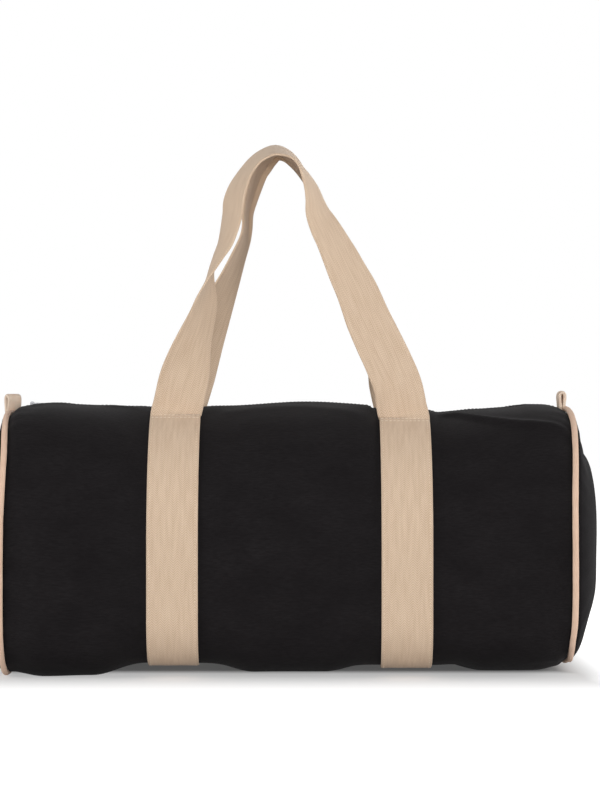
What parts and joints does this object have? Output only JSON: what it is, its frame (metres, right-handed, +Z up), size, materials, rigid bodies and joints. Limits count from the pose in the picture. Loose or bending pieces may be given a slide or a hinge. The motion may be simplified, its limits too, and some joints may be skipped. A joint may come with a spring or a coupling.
{
  "type": "barrel bag",
  "caption": "Horizontal barrel bag in black canvas with webbing straps that form two carry handles, piped domed ends and a zip along the top.",
  "frame": {"origin": "middle of the footprint on the floor", "axes": "+X along the barrel to the right as seen from the front, -Y out of the front, +Z up"},
  "size_m": [0.558, 0.248, 0.4748],
  "materials": {
    "canvas_black": "matte woven",
    "webbing_natural": "herringbone weave",
    "piping_natural": "plain weave",
    "loop_tape_natural": "twill weave",
    "cord_filler": "braided",
    "binding_black": "ribbed tape",
    "zip_tape_black": "ribbed tape",
    "zip_teeth_black": "moulded",
    "slider_metal": "nickel plated"
  },
  "bodies": {
    "bag": {"body_panel": "canvas_black", "end_panel_left": "canvas_black", "end_panel_right": "canvas_black", "piping_cover_left": "piping_natural", "piping_cover_right": "piping_natural", "piping_cord_left": "cord_filler", "piping_cord_right": "cord_filler", "seam_binding_left": "binding_black", "seam_binding_right": "binding_black", "strap_left": "webbing_natural", "strap_right": "webbing_natural", "zip_tape_front": "zip_tape_black", "zip_tape_back": "zip_tape_black", "zip_teeth_front": "zip_teeth_black", "zip_teeth_back": "zip_teeth_black", "zip_top_stops": "slider_metal", "zip_bottom_stop": "slider_metal", "loop_tab_left": "loop_tape_natural", "loop_tab_right": "loop_tape_natural"},
    "slider": {"zip_slider": "slider_metal"},
    "pull": {"zip_pull": "slider_metal"},
    "front_handle": {"handle_front": "webbing_natural"},
    "back_handle": {"handle_back": "webbing_natural"}
  },
  "joints": [
    {"name": "zip_slide", "type": "slide", "parent": "bag", "child": "slider", "axis": [1, 0, 0], "range_m": [0, 0.4476]},
    {"name": "pull_turn", "type": "hinge", "parent": "slider", "child": "pull", "pos_m": [-0.2346, 0, 0.2404], "axis": [0, -1, 0], "range_deg": [0, 110]},
    {"name": "front_handle_swing", "type": "hinge", "parent": "bag", "child": "front_handle", "pos_m": [0, -0.0469, 0.23308], "axis": [1, 0, 0], "range_deg": [0, 95]},
    {"name": "back_handle_swing", "type": "hinge", "parent": "bag", "child": "back_handle", "pos_m": [0, 0.0469, 0.23308], "axis": [-1, 0, 0], "range_deg": [0, 95]}
  ]
}
